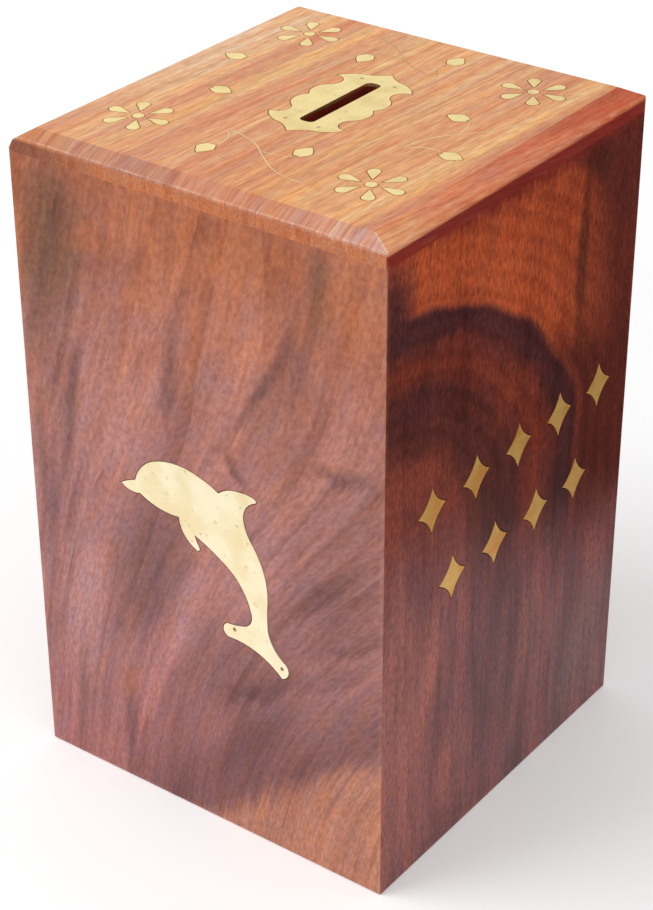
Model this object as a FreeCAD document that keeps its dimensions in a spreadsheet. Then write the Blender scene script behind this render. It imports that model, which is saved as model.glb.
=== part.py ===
"""Wooden money box with brass inlay: mitred case, bevelled top with a coin slot, lockable door in the base.

Frame: millimetres, +Z up, origin at the middle of the underside, front face at -Y, right face at +X.
"""
import FreeCAD
import Part
import Sketcher
import math
import os
import re

from FreeCAD import Placement, Rotation, Vector

doc = FreeCAD.newDocument("money_box")
sheet = doc.addObject("Spreadsheet::Sheet", "sizes")

driving_sizes = [
    ("box_width", 155.0, "outside, along X"),
    ("box_depth", 155.0, "outside, along Y"),
    ("box_height", 254.0, "floor to top face"),
    ("wall_thick", 9.0, "wall boards"),
    ("edge_round", 0.8, "sanded outer edges"),
    ("top_thick", 8.5, "top board"),
    ("bevel_rise", 3.0, "height of the bevel round the top"),
    ("left_bevel_rise", 5.6, "the same on the left edge, which is sanded lower"),
    ("left_round", 1.8, "left edge sanded round under its bevel, seen from above"),
    ("left_round_drop", 7.6, "from the top to where that rounding meets the left side"),
    ("side_bevel", 8.8, "bevel seen from above, left and right edges"),
    ("end_bevel", 5.4, "bevel seen from above, front and back edges"),
    ("plug_deep", 3.0, "locating plug under the top board"),
    ("plug_clear", 0.2, "plug to walls"),
    ("base_thick", 9.0, "base board"),
    ("groove_deep", 4.0, "groove in the walls that holds the base board"),
    ("groove_clear", 0.2, "edge of the base board to the bottom of the groove"),
    ("floor_gap", 1.7, "hinge knuckles to the floor"),
    ("hatch_width", 88.0, "door recess in the base board, along X"),
    ("hatch_depth", 88.0, "door recess in the base board, along Y"),
    ("hatch_ledge", 4.0, "ledge that the closed door stops on"),
    ("door_thick", 5.0, "base door"),
    ("door_clear", 0.6, "round the edge of the door"),
    ("door_lift", 0.2, "door to ledge"),
    ("hinge_length", 22.0, "one hinge, along Y"),
    ("hinge_spacing", 52.0, "between the middles of the hinges"),
    ("flap_width", 11.0, "hinge leaf, from the pin"),
    ("flap_thick", 1.0, "hinge leaf"),
    ("knuckle_radius", 2.0, "outside of the hinge knuckles"),
    ("knuckle_drop", 0.3, "knuckles to the underside of the base"),
    ("knuckle_gap", 0.25, "between knuckles"),
    ("pin_radius", 1.0, "hinge pin"),
    ("pin_play", 0.06, "hinge pin in its knuckles"),
    ("pin_head_radius", 1.5, "riveted ends of the hinge pin"),
    ("pin_head_thick", 0.6, "riveted ends of the hinge pin"),
    ("screw_head_radius", 1.9, "countersunk head"),
    ("screw_head_high", 0.9, "countersunk head"),
    ("screw_radius", 1.0, "hinge screw shank"),
    ("screw_length", 4.4, "hinge screw, head to tip"),
    ("screw_tip", 1.2, "pointed end of the hinge screw"),
    ("screw_slot_wide", 0.5, "driver slot"),
    ("screw_slot_deep", 0.35, "driver slot"),
    ("snug_clear", 0.05, "screws, pins and lock in their holes"),
    ("lock_radius", 6.0, "lock housing"),
    ("flange_radius", 8.5, "lock housing flange"),
    ("flange_thick", 1.5, "lock housing flange"),
    ("barrel_radius", 4.0, "turning barrel"),
    ("barrel_head_radius", 5.0, "keyhole end of the barrel"),
    ("barrel_head_thick", 1.0, "keyhole end of the barrel"),
    ("turn_clear", 0.08, "barrel in its housing"),
    ("end_play", 0.2, "barrel and cam, along the lock"),
    ("key_slot_long", 5.0, "keyhole"),
    ("key_slot_wide", 1.2, "keyhole"),
    ("key_slot_deep", 6.0, "keyhole"),
    ("nut_radius", 8.7, "lock nut, across corners, half"),
    ("nut_thick", 3.0, "lock nut"),
    ("nut_edge", 4.8, "lock nut to the ledge"),
    ("cam_width", 9.0, "lock cam"),
    ("cam_thick", 1.5, "lock cam"),
    ("cam_overlap", 7.0, "cam over the base board when locked"),
    ("cam_lift", 0.4, "cam to the base board"),
    ("tenon_wide", 4.5, "square end of the barrel"),
    ("cam_screw_radius", 1.2, "cam screw shank"),
    ("cam_screw_deep", 5.0, "cam screw, below its head"),
    ("cam_head_radius", 3.2, "cam screw head"),
    ("cam_head_thick", 1.4, "cam screw head"),
    ("slot_length", 41.0, "coin slot, along Y"),
    ("slot_width", 5.9, "coin slot"),
    ("slot_round", 2.0, "corners of the coin slot"),
    ("slot_shift", 4.8, "slot and plate, back from the middle"),
    ("plate_end", 10.0, "plate past the ends of the slot"),
    ("plate_side", 12.7, "plate past the sides of the slot"),
    ("inlay_thick", 1.2, "brass sheet"),
    ("inlay_clear", 0.35, "dark filler line round the brass"),
    ("flower_inset", 29.6, "flower middle to the edge of the top"),
    ("flower_shift", 3.2, "flowers and vines, back from the middle"),
    ("petal_inner", 3.8, "flower middle to petal point"),
    ("petal_outer", 12.3, "flower middle to petal end"),
    ("petal_width", 4.5, "petal"),
    ("eye_radius", 2.1, "round flower middle"),
    ("bud_long", 8.6, "leaf bud"),
    ("bud_wide", 6.8, "leaf bud"),
    ("sprig_reach", 30.0, "vine, along the side of the top from its middle"),
    ("sprig_swing", 12.0, "vine, to either side of the line through the flowers"),
    ("sprig_drift", 2.0, "hand-set sprigs, along their side from their true place"),
    ("wire_width", 0.4, "vine wire"),
    ("wire_deep", 0.8, "vine wire"),
    ("wire_clear", 0.1, "vine wire in its groove"),
    ("dolphin_wide", 72.4, "dolphin, along X"),
    ("dolphin_high", 70.6, "dolphin, along Z"),
    ("dolphin_shift", 1.5, "dolphin, right of the middle"),
    ("dolphin_rise", 111.6, "middle of the dolphin above the floor"),
    ("brad_radius", 0.7, "pins through the brass"),
    ("brad_length", 6.0, "pins through the brass"),
    ("lozenge_wide", 16.0, "side ornament"),
    ("lozenge_high", 17.5, "side ornament"),
    ("lozenge_pitch", 26.6, "side ornament, along Y"),
    ("row_shift", 3.0, "side ornament, back from the middle"),
    ("upper_row_rise", 146.8, "upper row above the floor"),
    ("lower_row_rise", 113.7, "lower row above the floor"),
]
for row, (alias, number, note) in enumerate(driving_sizes, start=1):
    sheet.set(f"A{row}", note)
    sheet.set(f"B{row}", str(number))
    sheet.setAlias(f"B{row}", alias)
doc.recompute()

# Heights and places that several pieces share, as expressions of the driving sizes.
base_low = "(floor_gap + 2*knuckle_radius + knuckle_drop)"
wall_high = "(box_height - top_thick)"
axis_x = "(door_clear/2 - hatch_width/2)"
axis_z = "(floor_gap + knuckle_radius)"
lock_x = "(hatch_width/2 - hatch_ledge - nut_edge - nut_radius)"
cam_low = f"({base_low} + base_thick + cam_lift)"
cam_reach = "(nut_radius + nut_edge + cam_overlap)"

nodes = {}


def cells(text):
    """The expression with each size's name pointing at its cell."""
    return re.sub(r"[a-z]+_[a-z_]+", r"sizes.\g<0>", str(text))


def value(text):
    return float(sheet.evalExpression(cells(text)))


def bind(item, **expressions):
    for name, text in expressions.items():
        item.setExpression(name.replace("__", "."), cells(text))
    return item


def place(item, x="0", y="0", z="0"):
    return bind(item, Placement__Base__x=x, Placement__Base__y=y, Placement__Base__z=z)


def node(label, item):
    item.Label = label
    nodes[label] = item
    return item


# Plain solids and booleans.
def block(name, low, high):
    solid = doc.addObject("Part::Box", name)
    place(solid, *low)
    spans = [f"({b}) - ({a})" for a, b in zip(low, high)]
    return bind(solid, Length=spans[0], Width=spans[1], Height=spans[2])


def rod(name, radius, length, foot, along_y=False):
    solid = doc.addObject("Part::Cylinder", name)
    if along_y:
        solid.Placement = Placement(Vector(), Rotation(Vector(1, 0, 0), -90))
    place(solid, *foot)
    return bind(solid, Radius=radius, Height=length)


def cut(name, base, tool):
    result = doc.addObject("Part::Cut", name)
    result.Base, result.Tool = base, tool
    return result


def fuse(name, shapes):
    result = doc.addObject("Part::MultiFuse", name)
    result.Shapes, result.Refine = shapes, True
    return result


def common(name, base, tool):
    result = doc.addObject("Part::Common", name)
    result.Base, result.Tool = base, tool
    return result


def group(name, shapes):
    result = doc.addObject("Part::Compound", name)
    result.Links = shapes
    return result


def fixed(name, shapes, placement):
    """A solid, or several, whose outline is drawn below, set on its face of the box."""
    result = doc.addObject("Part::Feature", name)
    result.Shape = shapes[0] if len(shapes) == 1 else Part.makeCompound(shapes)
    result.Placement = placement
    return result


# Sketched bodies.
def body_of(name):
    return doc.addObject("PartDesign::Body", name)


def sketch_on(body, name, plane, corners, offset="0"):
    """A closed outline whose corners are held to expressions, from the origin."""
    sketch = body.newObject("Sketcher::SketchObject", name)
    origin = next(item for item in body.Origin.OriginFeatures if item.Role == plane)
    sketch.AttachmentSupport = (origin, [""])
    sketch.MapMode = "FlatFace"
    bind(sketch, AttachmentOffset__Base__z=offset)
    points = [Vector(value(x), value(y), 0) for x, y in corners]
    for start, end in zip(points, points[1:] + points[:1]):
        sketch.addGeometry(Part.LineSegment(start, end))
    for index in range(len(points)):
        sketch.addConstraint(Sketcher.Constraint("Coincident", index, 2, (index + 1) % len(points), 1))
    for index, corner in enumerate(corners):
        for kind, text in zip(("DistanceX", "DistanceY"), corner):
            held = sketch.addConstraint(Sketcher.Constraint(kind, -1, 1, index, 1, value(text)))
            sketch.setExpression(f"Constraints[{held}]", cells(text))
    return sketch


def rectangle(half_x, half_y):
    return [(f"-({half_x})", f"-({half_y})"), (half_x, f"-({half_y})"),
            (half_x, half_y), (f"-({half_x})", half_y)]


def feature(body, kind, name, sketch, **expressions):
    item = body.newObject(f"PartDesign::{kind}", name)
    item.Profile = sketch
    return bind(item, **expressions)


def turned(name, profile, x, y, z):
    """A body turned about an upright axis from its (radius, height) profile."""
    body = body_of(name)
    sketch = sketch_on(body, f"{name}_profile", "XZ_Plane", profile)
    spin = feature(body, "Revolution", f"{name}_turning", sketch)
    spin.ReferenceAxis = (sketch, ["V_Axis"])
    return place(body, x, y, z)


# Case boards.
def sanded_block():
    """The whole box as one block, bevelled and sanded along its edges; every outer board is trimmed to it."""
    body = body_of("sanded_block")
    plan = sketch_on(body, "sanded_plan", "XY_Plane", rectangle("box_width/2", "box_depth/2"))
    feature(body, "Pad", "sanded_pad", plan, Length="box_height")
    rounded_over = [("left_round - box_width/2", "box_height - left_bevel_rise*(1 - left_round/side_bevel)")]
    for name, plane, sign, half, run, rise, length, between in (
            ("left", "XZ_Plane", "-", "box_width/2", "side_bevel", "left_round_drop", "box_depth", rounded_over),
            ("right", "XZ_Plane", "", "box_width/2", "side_bevel", "bevel_rise", "box_depth", []),
            ("front", "YZ_Plane", "-", "box_depth/2", "end_bevel", "bevel_rise", "box_width", []),
            ("back", "YZ_Plane", "", "box_depth/2", "end_bevel", "bevel_rise", "box_width", [])):
        section = sketch_on(body, f"{name}_bevel_section", plane, [
            (f"{sign}({half})", f"box_height - {rise}"), (f"{sign}({half})", "box_height"),
            (f"{sign}({half} - {run})", "box_height"), *between])
        bevel = feature(body, "Pocket", f"{name}_bevel", section, Length=length)
        bevel.Midplane = True
    doc.recompute()
    rounding = body.newObject("PartDesign::Fillet", "sanded_edges")
    rounding.Base = (bevel, [f"Edge{number}" for number in range(1, len(bevel.Shape.Edges) + 1)])
    bind(rounding, Radius="edge_round")
    return body


def wall_board(name, length, turn, x, y):
    """A mitred board, drawn with its outer face on local y = 0, with the groove for the base."""
    body = body_of(f"{name}_board")
    plan = sketch_on(body, f"{name}_plan", "XY_Plane", [
        (f"-{length}/2", "0"), (f"{length}/2", "0"),
        (f"{length}/2 - wall_thick", "wall_thick"), (f"wall_thick - {length}/2", "wall_thick")])
    feature(body, "Pad", f"{name}_pad", plan, Length=wall_high)
    section = sketch_on(body, f"{name}_groove_section", "YZ_Plane", [
        ("wall_thick - groove_deep", base_low), ("wall_thick", base_low),
        ("wall_thick", f"{base_low} + base_thick"), ("wall_thick - groove_deep", f"{base_low} + base_thick")])
    groove = feature(body, "Pocket", f"{name}_groove", section, Length=length)
    groove.Midplane = True
    body.Placement = Placement(Vector(), Rotation(Vector(0, 0, 1), turn))
    return place(body, x, y)


def top_blank():
    """The top board before its edges are bevelled, with its locating plug, underside on local z = 0."""
    body = body_of("top_blank")
    slab = sketch_on(body, "slab_plan", "XY_Plane", rectangle("box_width/2", "box_depth/2"))
    feature(body, "Pad", "slab", slab, Length="top_thick")
    plug = sketch_on(body, "plug_plan", "XY_Plane", rectangle(
        "box_width/2 - wall_thick - plug_clear", "box_depth/2 - wall_thick - plug_clear"))
    feature(body, "Pad", "plug", plug, Length="plug_deep").Reversed = True
    return place(body, z=wall_high)


def base_blank():
    """The base board with its stepped hatch: a recess for the door below, a smaller opening above."""
    body = body_of("base_blank")
    plan = sketch_on(body, "base_plan", "XY_Plane", rectangle(
        "box_width/2 - wall_thick + groove_deep - groove_clear",
        "box_depth/2 - wall_thick + groove_deep - groove_clear"))
    feature(body, "Pad", "base_pad", plan, Length="base_thick")
    opening = sketch_on(body, "opening_plan", "XY_Plane", rectangle(
        "hatch_width/2 - hatch_ledge", "hatch_depth/2 - hatch_ledge"))
    feature(body, "Pocket", "opening", opening, Length="base_thick").Reversed = True
    recess = sketch_on(body, "recess_plan", "XY_Plane", rectangle("hatch_width/2", "hatch_depth/2"))
    feature(body, "Pocket", "recess", recess, Length="door_thick + door_lift").Reversed = True
    return place(body, z=base_low)


def door_blank():
    body = body_of("door_blank")
    plan = sketch_on(body, "door_plan", "XY_Plane", rectangle(
        "hatch_width/2 - door_clear", "hatch_depth/2 - door_clear"))
    feature(body, "Pad", "door_pad", plan, Length="door_thick")
    return place(body, z=base_low)


# Outlines of the brass, as corner and through points: each stretch is an arc, or a line where there is no point.
def outline(points):
    edges = []
    for start, through, end in zip(points[0::2], points[1::2], points[2::2]):
        start, end = Vector(*start), Vector(*end)
        curve = Part.Arc(start, Vector(*through), end) if through else Part.LineSegment(start, end)
        edges.append(curve.toShape())
    return Part.Wire(edges)


def spread(points, half_wide, half_high, middle=(0, 0)):
    """Points given in percent of the half sizes, set out at their real size about the middle."""
    x, y = middle
    return [point and (x + point[0]*half_wide/100, y + point[1]*half_high/100) for point in points]


def mirrored(quarter):
    right = quarter + [(x, -y) for x, y in reversed(quarter[:-1])]
    return right + [(-x, y) for x, y in reversed(right[:-1])]


def turned_about(wire, middle, degrees):
    wire.rotate(Vector(0, 0, 0), Vector(0, 0, 1), degrees)
    wire.translate(Vector(*middle))
    return wire


def slot_outline():
    half_x, half_y = value("slot_width/2"), value("slot_length/2")
    middle, bend = value("slot_shift"), value("slot_round")
    inside = bend*(1 - math.sqrt(0.5))
    quarter = [(0, half_y), None, (half_x - bend, half_y), (half_x - inside, half_y - inside),
               (half_x, half_y - bend), None, (half_x, 0)]
    right = quarter + [p and (p[0], -p[1]) for p in reversed(quarter[:-1])]
    whole = right + [p and (-p[0], p[1]) for p in reversed(right[:-1])]
    return outline([p and (p[0], p[1] + middle) for p in whole])


def plate_points(points):
    half_x, half_y = value("slot_width/2 + plate_side"), value("slot_length/2 + plate_end")
    return spread(points, half_x, half_y, (0, value("slot_shift")))


def plate_outline():
    quarter = [(0, 100), (19, 91), (41, 85), (76, 78), (100, 64), (76, 59), (69, 50),
               (72, 42), (84, 35), (99, 20), (85, 0)]
    return outline(plate_points(mirrored(quarter)))


def dolphin_points(points):
    middle = (value("dolphin_shift - dolphin_wide/2"), value("dolphin_rise - dolphin_high/2"))
    return spread(points, value("dolphin_wide"), value("dolphin_high"), middle)


def dolphin_outline():
    """From the tip of the beak over the back to the tail, and home along the belly."""
    beak_and_head = [(0, 77.6), (4, 80), (8.8, 82), (11.7, 88.7), (19.5, 96.1), (34.6, 100), (49, 97.9),
                     (55.5, 95.6), (60.1, 93.1)]
    back_fin = [(65.6, 96.8), (73.2, 98.4), (78.6, 98.5), (81.8, 97.7), (82.5, 96.8), (81.8, 95.7),
                (76.1, 90.5), (74.6, 84.3)]
    back = [(76.1, 78), (79.7, 71.3), (86.2, 58), (88.2, 41), (87.9, 33), (88, 25.5)]
    tail = [(90.5, 17.7), (98.4, 9.2), (100, 3.7), (96.3, 0), (80.8, 9.6), (64.2, 11.6),
            (61, 15.5), (63.4, 19.4), (67.8, 20), (72.1, 21.1), (77.1, 24), (78.7, 29.2)]
    belly = [(75, 40.3), (62.4, 54.3), (54.1, 59.3), (44.7, 63.8)]
    flipper = [(46, 60.2), (47.7, 56.9), (47, 55.4), (45.4, 55.6), (38.9, 61), (35.5, 70.6)]
    throat = [(24.5, 70.8), (11.5, 75.5), (9.4, 74.9), (6.5, 74.9), (2.5, 75.9), (0, 77.6)]
    return outline(dolphin_points(beak_and_head + back_fin + back + tail + belly + flipper + throat))


def petal_outline(middle, degrees):
    """A drop: two straight sides from the point, tangent to a round end."""
    point, bend = value("petal_inner"), value("petal_width/2")
    centre = value("petal_outer") - bend
    lean = math.acos(bend/(centre - point))
    near, aside = centre - bend*math.cos(lean), bend*math.sin(lean)
    drop = outline([(point, 0), None, (near, -aside), (centre + bend, 0), (near, aside), None, (point, 0)])
    return turned_about(drop, middle, degrees)


def eye_outline(middle):
    eye = Part.Wire([Part.Circle(Vector(0, 0, 0), Vector(0, 0, 1), value("eye_radius")).toShape()])
    return turned_about(eye, middle, 0)


def bud_outline(middle, degrees):
    """A leaf bud with its point towards +y and its stem end blunt."""
    right = [(0, 100), (60, 48), (100, -8), (74, -58), (34, -100)]
    whole = right + [(0, -90)] + [(-x, y) for x, y in reversed(right)]
    bud = outline(spread(whole, value("bud_wide/2"), value("bud_long/2")))
    return turned_about(bud, middle, degrees)


def lozenge_outline(middle):
    quarter = [(0, 100), (40, 40), (100, 0)]
    return outline(spread(mirrored(quarter), value("lozenge_wide/2"), value("lozenge_high/2"), middle))


def sprig_points(points, origin):
    return spread(points, value("sprig_reach"), value("sprig_swing"), origin)


def wire_path(points, origin, degrees, middle):
    """A vine wire; its points run along a side of the top, and inward from the line through the flowers."""
    path = outline(sprig_points(points, origin))
    return turned_about(path, middle, degrees)


def sheet_solids(outlines, deep):
    return [Part.Face(edge).extrude(Vector(0, 0, -value(deep))) for edge in outlines]


def pocket_solids(outlines, deep, clear):
    wider = [edge.makeOffset2D(value(clear)) for edge in outlines]
    return sheet_solids(wider, deep)


def brad_solids(points, radius, length):
    return [Part.makeCylinder(radius, length, Vector(x, y, 0), Vector(0, 0, -1)) for x, y in points]


on_top = Placement(Vector(0, 0, value("box_height")), Rotation())
on_front = Placement(Vector(0, value("-box_depth/2"), 0), Rotation(Vector(1, 0, 0), 90))
on_right = Placement(Vector(value("box_width/2"), 0, 0),
                     Rotation(Vector(0, 1, 0), Vector(0, 0, 1), Vector(1, 0, 0), "XYZ"))


def brass_and_brads(label, solids, points, placement):
    """Brass sheet held by small pins; returns the holes that the pins need in the wood."""
    radius, length = value("brad_radius"), value("brad_length")
    holes = brad_solids(points, radius + value("snug_clear"), length)
    holed = [solid.cut(holes) for solid in solids]
    node(label, fixed(label, [part for shape in holed for part in shape.Solids], placement))
    node(f"{label}_pins", fixed(f"{label}_pins", brad_solids(points, radius, length), placement))
    return holes


def build_top(block_to_trim):
    pockets = []
    middle = (0, value("flower_shift"))
    side_lines = {"width": value("box_width/2 - flower_inset"), "depth": value("box_depth/2 - flower_inset")}

    for label, x, y in (("front_left", -1, -1), ("front_right", 1, -1),
                        ("back_left", -1, 1), ("back_right", 1, 1)):
        spot = (x*side_lines["width"], y*side_lines["depth"] + middle[1])
        petals = [petal_outline(spot, degrees) for degrees in range(0, 360, 60)]
        flower = petals + [eye_outline(spot)]
        node(f"flower_{label}", fixed(f"flower_{label}", sheet_solids(flower, "inlay_thick"), on_top))
        pockets += pocket_solids(flower, "inlay_thick", "inlay_clear")

    # One side's sprig, turned a quarter for each next side.
    inner_bud, outer_bud = (51.7, 68.3), (-42.7, -68.3)
    vine = [(-51.7, 70), (-21.7, 55), (6.7, 13.3), (23.3, -22.5), (40, -55), (66.7, -88.3), (100, -98.3)]
    inner_stem = [(49.3, 25), (34.7, 10), (16.7, 3.3)]
    outer_stem = [(-50, 56.7), (-39.3, 21.7), (-38.7, -25)]
    for side, degrees, across, drift in (("front", 0, "depth", 0), ("right", 90, "width", -1),
                                         ("back", 180, "depth", 1), ("left", 270, "width", -1)):
        origin = (drift*value("sprig_drift"), -side_lines[across])
        turn = Rotation(Vector(0, 0, 1), degrees)
        buds = []
        for middle_of_bud, tip in zip(sprig_points([inner_bud, outer_bud], origin), (0, 180)):
            spot = turn.multVec(Vector(*middle_of_bud))
            buds.append(bud_outline((spot.x, spot.y + middle[1]), degrees + tip))
        node(f"buds_{side}", fixed(f"buds_{side}", sheet_solids(buds, "inlay_thick"), on_top))
        pockets += pocket_solids(buds, "inlay_thick", "inlay_clear")

        paths = [wire_path(points, origin, degrees, middle) for points in (vine, inner_stem, outer_stem)]
        half = value("wire_width/2")
        wires = [path.makeOffset2D(half) for path in paths]
        grooves = [path.makeOffset2D(half + value("wire_clear")) for path in paths]
        node(f"vine_{side}", fixed(f"vine_{side}", sheet_solids(wires, "wire_deep"), on_top))
        pockets += sheet_solids(grooves, "wire_deep")

    plate = plate_outline()
    slot = slot_outline()
    slot_hole = Part.Face(slot).extrude(Vector(0, 0, -value("top_thick + plug_deep")))
    plate_solid = sheet_solids([plate], "inlay_thick")[0].cut(slot_hole)
    pins = plate_points([(x, y) for x in (-44, 44) for y in (-72, 72)])
    holes = brass_and_brads("slot_plate", plate_solid.Solids, pins, on_top)
    pockets += pocket_solids([plate], "inlay_thick", "inlay_clear")

    trimmed = common("top_trimmed", top_blank(), block_to_trim)
    pocketed = cut("top_pocketed", trimmed, fixed("top_pockets", pockets, on_top))
    node("top_board", cut("top_board", pocketed, fixed("top_holes", holes + [slot_hole], on_top)))


def build_walls(block_to_trim):
    sides = {
        "front": wall_board("front", "box_width", 0, "0", "-box_depth/2"),
        "right": wall_board("right", "box_depth", 90, "box_width/2", "0"),
        "back": wall_board("back", "box_width", 180, "0", "box_depth/2"),
        "left": wall_board("left", "box_depth", 270, "-box_width/2", "0"),
    }
    trimmed = {side: common(f"{side}_trimmed", board, block_to_trim) for side, board in sides.items()}
    node("back_wall", trimmed["back"])
    node("left_wall", trimmed["left"])

    # Front: the dolphin, with a pin at each fluke and four along the body.
    dolphin = dolphin_outline()
    pins = dolphin_points([(67.8, 17.4), (96.3, 5.9), (80.6, 38.1), (76.1, 57.4), (58, 76.1), (28.5, 81.3)])
    holes = brass_and_brads("dolphin", sheet_solids([dolphin], "inlay_thick"), pins, on_front)
    pocket = fixed("dolphin_pocket", pocket_solids([dolphin], "inlay_thick", "inlay_clear"), on_front)
    pocketed = cut("front_pocketed", trimmed["front"], pocket)
    node("front_wall", cut("front_wall", pocketed, fixed("dolphin_holes", holes, on_front)))

    # Right: two rows of plain lozenges.
    pockets = []
    for label, count, rise in (("upper", 5, "upper_row_rise"), ("lower", 4, "lower_row_rise")):
        first = value(f"row_shift - lozenge_pitch*{(count - 1)/2}")
        row = [lozenge_outline((first + step*value("lozenge_pitch"), value(rise))) for step in range(count)]
        node(f"{label}_lozenges", fixed(f"{label}_lozenges", sheet_solids(row, "inlay_thick"), on_right))
        pockets += pocket_solids(row, "inlay_thick", "inlay_clear")
    node("right_wall", cut("right_wall", trimmed["right"], fixed("lozenge_pockets", pockets, on_right)))


# Hinges.
def screw_spots(side):
    """Places of the four screws on one side of the hinge line: -1 the base board, 1 the door."""
    x = f"{axis_x} + ({side})*flap_width*0.62"
    spots = []
    for hinge in (-1, 1):
        for end in (-1, 1):
            spots.append((x, f"({hinge})*hinge_spacing/2 + ({end})*hinge_length*0.3"))
    return spots


def screw(name, x, y):
    """A countersunk screw, head down, with its driver slot."""
    low = f"({base_low} - flap_thick)"
    blank = turned(f"{name}_blank", [
        ("0", "0"), ("screw_head_radius", "0"), ("screw_radius", "screw_head_high"),
        ("screw_radius", "screw_length - screw_tip"), ("0", "screw_length")], x, y, low)
    slot = block(f"{name}_slot",
                 (f"{x} - screw_head_radius", f"{y} - screw_slot_wide/2", low),
                 (f"{x} + screw_head_radius", f"{y} + screw_slot_wide/2", f"{low} + screw_slot_deep"))
    return cut(name, blank, slot)


def screw_hole(name, x, y):
    return turned(name, [
        ("0", "0"), ("screw_head_radius + snug_clear", "0"), ("screw_radius + snug_clear", "screw_head_high"),
        ("screw_radius + snug_clear", "screw_length"), ("0", "screw_length")],
        x, y, f"{base_low} - flap_thick")


def hinge_flap(name, hinge, side, knuckles, holes):
    """One leaf under the base: a plate, with a web and a knuckle at each of its thirds of the pin."""
    middle = f"({hinge})*hinge_spacing/2"
    low, high = f"({base_low} - flap_thick)", base_low
    far, near = f"({axis_x} + ({side})*flap_width)", f"({axis_x} + ({side})*(knuckle_radius + knuckle_gap))"
    left, right = (far, near) if side < 0 else (near, far)
    pieces = [block(f"{name}_plate", (left, f"{middle} - hinge_length/2", low),
                    (right, f"{middle} + hinge_length/2", high))]
    for third in knuckles:
        start = f"({middle} + hinge_length*({third}/3 - 0.5) + knuckle_gap/2)"
        length = "(hinge_length/3 - knuckle_gap)"
        left, right = (near, axis_x) if side < 0 else (axis_x, near)
        pieces.append(block(f"{name}_web_{third}", (left, start, low), (right, f"{start} + {length}", high)))
        pieces.append(rod(f"{name}_knuckle_{third}", "knuckle_radius", length,
                          (axis_x, start, axis_z), along_y=True))
    bore = rod(f"{name}_bore", "pin_radius + pin_play", "hinge_length",
               (axis_x, f"{middle} - hinge_length/2", axis_z), along_y=True)
    return cut(name, cut(f"{name}_bored", fuse(f"{name}_blank", pieces), bore), holes)


def hinge_pin(name, hinge):
    """The pin, with a riveted head at each end."""
    start = f"(({hinge})*hinge_spacing/2 - hinge_length/2)"
    pieces = [rod(f"{name}_shank", "pin_radius", "hinge_length", (axis_x, start, axis_z), along_y=True)]
    for end, foot in (("front", f"{start} - pin_head_thick"), ("rear", f"{start} + hinge_length")):
        pieces.append(rod(f"{name}_{end}_head", "pin_head_radius", "pin_head_thick",
                          (axis_x, foot, axis_z), along_y=True))
    return fuse(name, pieces)


def build_base():
    holes = {}
    for label, side in (("frame", -1), ("door", 1)):
        spots = screw_spots(side)
        screws = [screw(f"{label}_screw_{number}", x, y) for number, (x, y) in enumerate(spots)]
        node(f"hinge_{label}_screws", group(f"hinge_{label}_screws", screws))
        drilled = [screw_hole(f"{label}_screw_hole_{number}", x, y) for number, (x, y) in enumerate(spots)]
        holes[label] = group(f"hinge_{label}_holes", drilled)

    for name, hinge in (("front_hinge", -1), ("rear_hinge", 1)):
        for label, side, knuckles in (("frame", -1, (0, 2)), ("door", 1, (1,))):
            leaf = f"{name}_{label}_leaf"
            node(leaf, hinge_flap(leaf, hinge, side, knuckles, holes[label]))
        node(f"{name}_pin", hinge_pin(f"{name}_pin", hinge))

    node("base_board", cut("base_board", base_blank(), holes["frame"]))
    lock_hole = rod("lock_hole", "lock_radius + snug_clear", "door_thick", (lock_x, "0", base_low))
    drilled = cut("door_drilled", door_blank(), lock_hole)
    node("base_door", cut("base_door", drilled, holes["door"]))


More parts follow.
